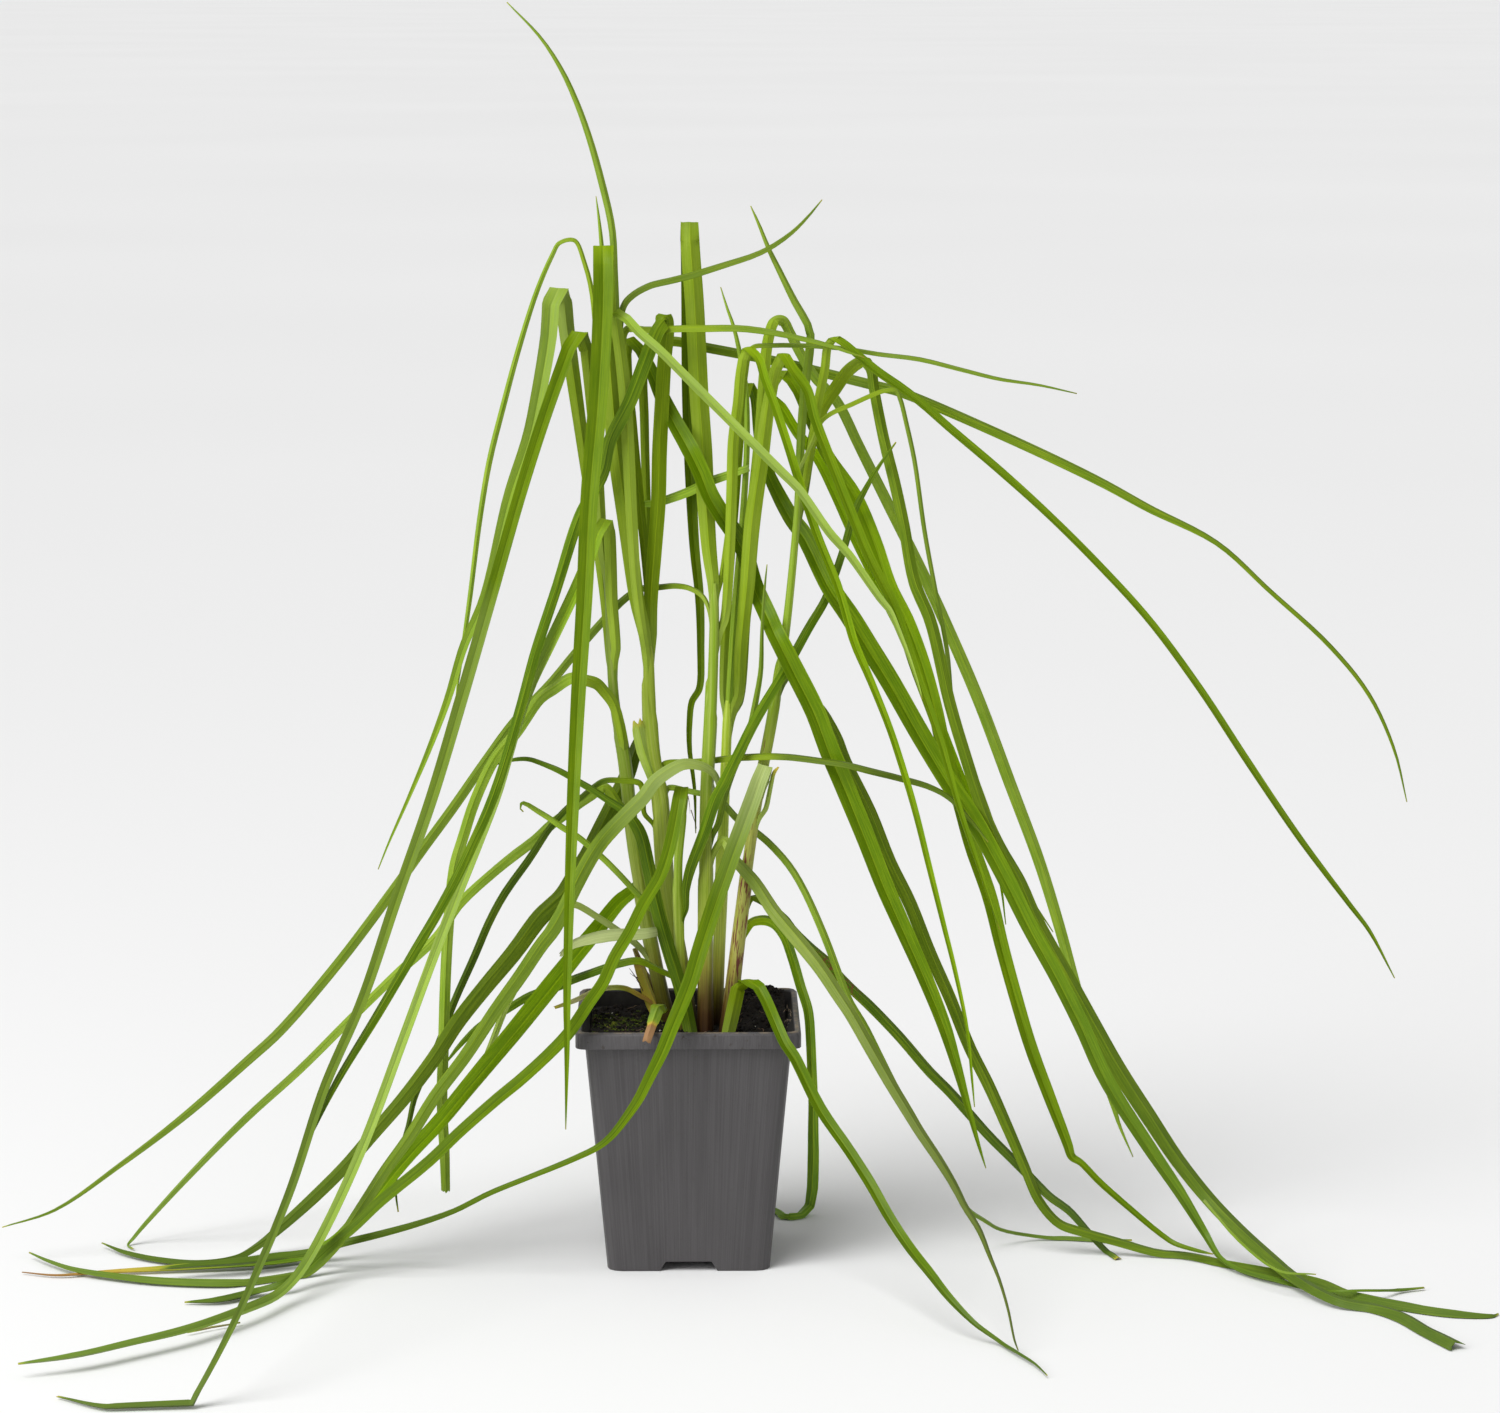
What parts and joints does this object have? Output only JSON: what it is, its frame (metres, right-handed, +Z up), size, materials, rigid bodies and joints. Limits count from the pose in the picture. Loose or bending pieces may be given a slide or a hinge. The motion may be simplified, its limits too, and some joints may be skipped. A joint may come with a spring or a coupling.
{
  "type": "potted plant",
  "caption": "Young umbrella sedge with long strap leaves, kinked and drooping to the surface, growing from pale shoots in a square dark grey nursery pot of peat",
  "frame": {"origin": "middle of the pot's underside, on the surface it stands on", "axes": "+Z up, +X to the right as seen from the front of the pot, +Y away from the viewer; the pot's front face looks to -Y"},
  "size_m": [0.5916, 0.3154, 0.5039],
  "materials": {
    "pot_plastic": "dull dark grey moulded plastic with fine upright draw lines",
    "peat": "damp dark peat, rough and lumpy",
    "sheath_pale": "pale yellow-green leaf sheath, satin",
    "sheath_green": "light green leaf sheath, satin",
    "sheath_brown": "dry brown leaf sheath, matt",
    "leaf_bright": "bright green leaf, satin",
    "leaf_olive": "olive green leaf, satin",
    "leaf_dark": "dark green leaf, satin",
    "leaf_dull": "dull grey-green leaf underside, satin",
    "leaf_pale": "pale green leaf, satin",
    "leaf_straw": "dry straw-coloured leaf, matt"
  },
  "bodies": {
    "root": {"leaf_arched_over_left": "leaf_dull", "leaf_base_right": "leaf_olive", "leaf_behind_pot": "leaf_dark", "leaf_brown_tipped": "leaf_dull", "leaf_channelled": "leaf_bright", "leaf_crossing_right": "leaf_bright", "leaf_cut_stub": "leaf_bright", "leaf_dark_level": "leaf_dull", "leaf_dark_looped": "leaf_dark", "leaf_dark_rising": "leaf_dark", "leaf_dark_spike": "leaf_dull", "leaf_dry_pale": "leaf_pale", "leaf_dry_wiry": "leaf_straw", "leaf_far_left": "leaf_dull", "leaf_far_right": "leaf_dull", "leaf_front_left": "leaf_dull", "leaf_hooked": "leaf_bright", "leaf_left_blunt": "leaf_bright", "leaf_left_broad": "leaf_olive", "leaf_left_folded_high": "leaf_bright", "leaf_left_folded_long": "leaf_bright", "leaf_left_light": "leaf_dull", "leaf_left_low": "leaf_bright", "leaf_left_short": "leaf_pale", "leaf_left_yellowing": "leaf_olive", "leaf_level_light": "leaf_bright", "leaf_level_long": "leaf_olive", "leaf_level_wiry": "leaf_dull", "leaf_long_hanging": "leaf_bright", "leaf_low_dark": "leaf_dark", "leaf_low_green": "leaf_dark", "leaf_low_right": "leaf_dull", "leaf_low_wiry": "leaf_dark", "leaf_over_pot_front": "leaf_dull", "leaf_pale_right": "leaf_pale", "leaf_right_back": "leaf_bright", "leaf_right_blunt": "leaf_olive", "leaf_right_bright": "leaf_bright", "leaf_right_broad": "leaf_olive", "leaf_right_floor": "leaf_olive", "leaf_right_hidden": "leaf_bright", "leaf_right_kinked": "leaf_bright", "leaf_right_olive": "leaf_olive", "leaf_right_ribbon": "leaf_bright", "leaf_right_wiry": "leaf_dull", "leaf_spike": "leaf_bright", "leaf_spotted": "leaf_dark", "leaf_tall_upright": "leaf_bright", "leaf_thin_top_left": "leaf_bright", "leaf_thin_top_right": "leaf_bright", "leaf_wiry_arch": "leaf_bright", "pot": "pot_plastic", "shoot_back": "sheath_pale", "shoot_centre": "sheath_green", "shoot_left": "sheath_green", "shoot_middle": "sheath_pale", "shoot_narrow": "sheath_green", "shoot_right": "sheath_green", "shoot_withered": "sheath_brown", "soil": "peat"}
  },
  "joints": []
}
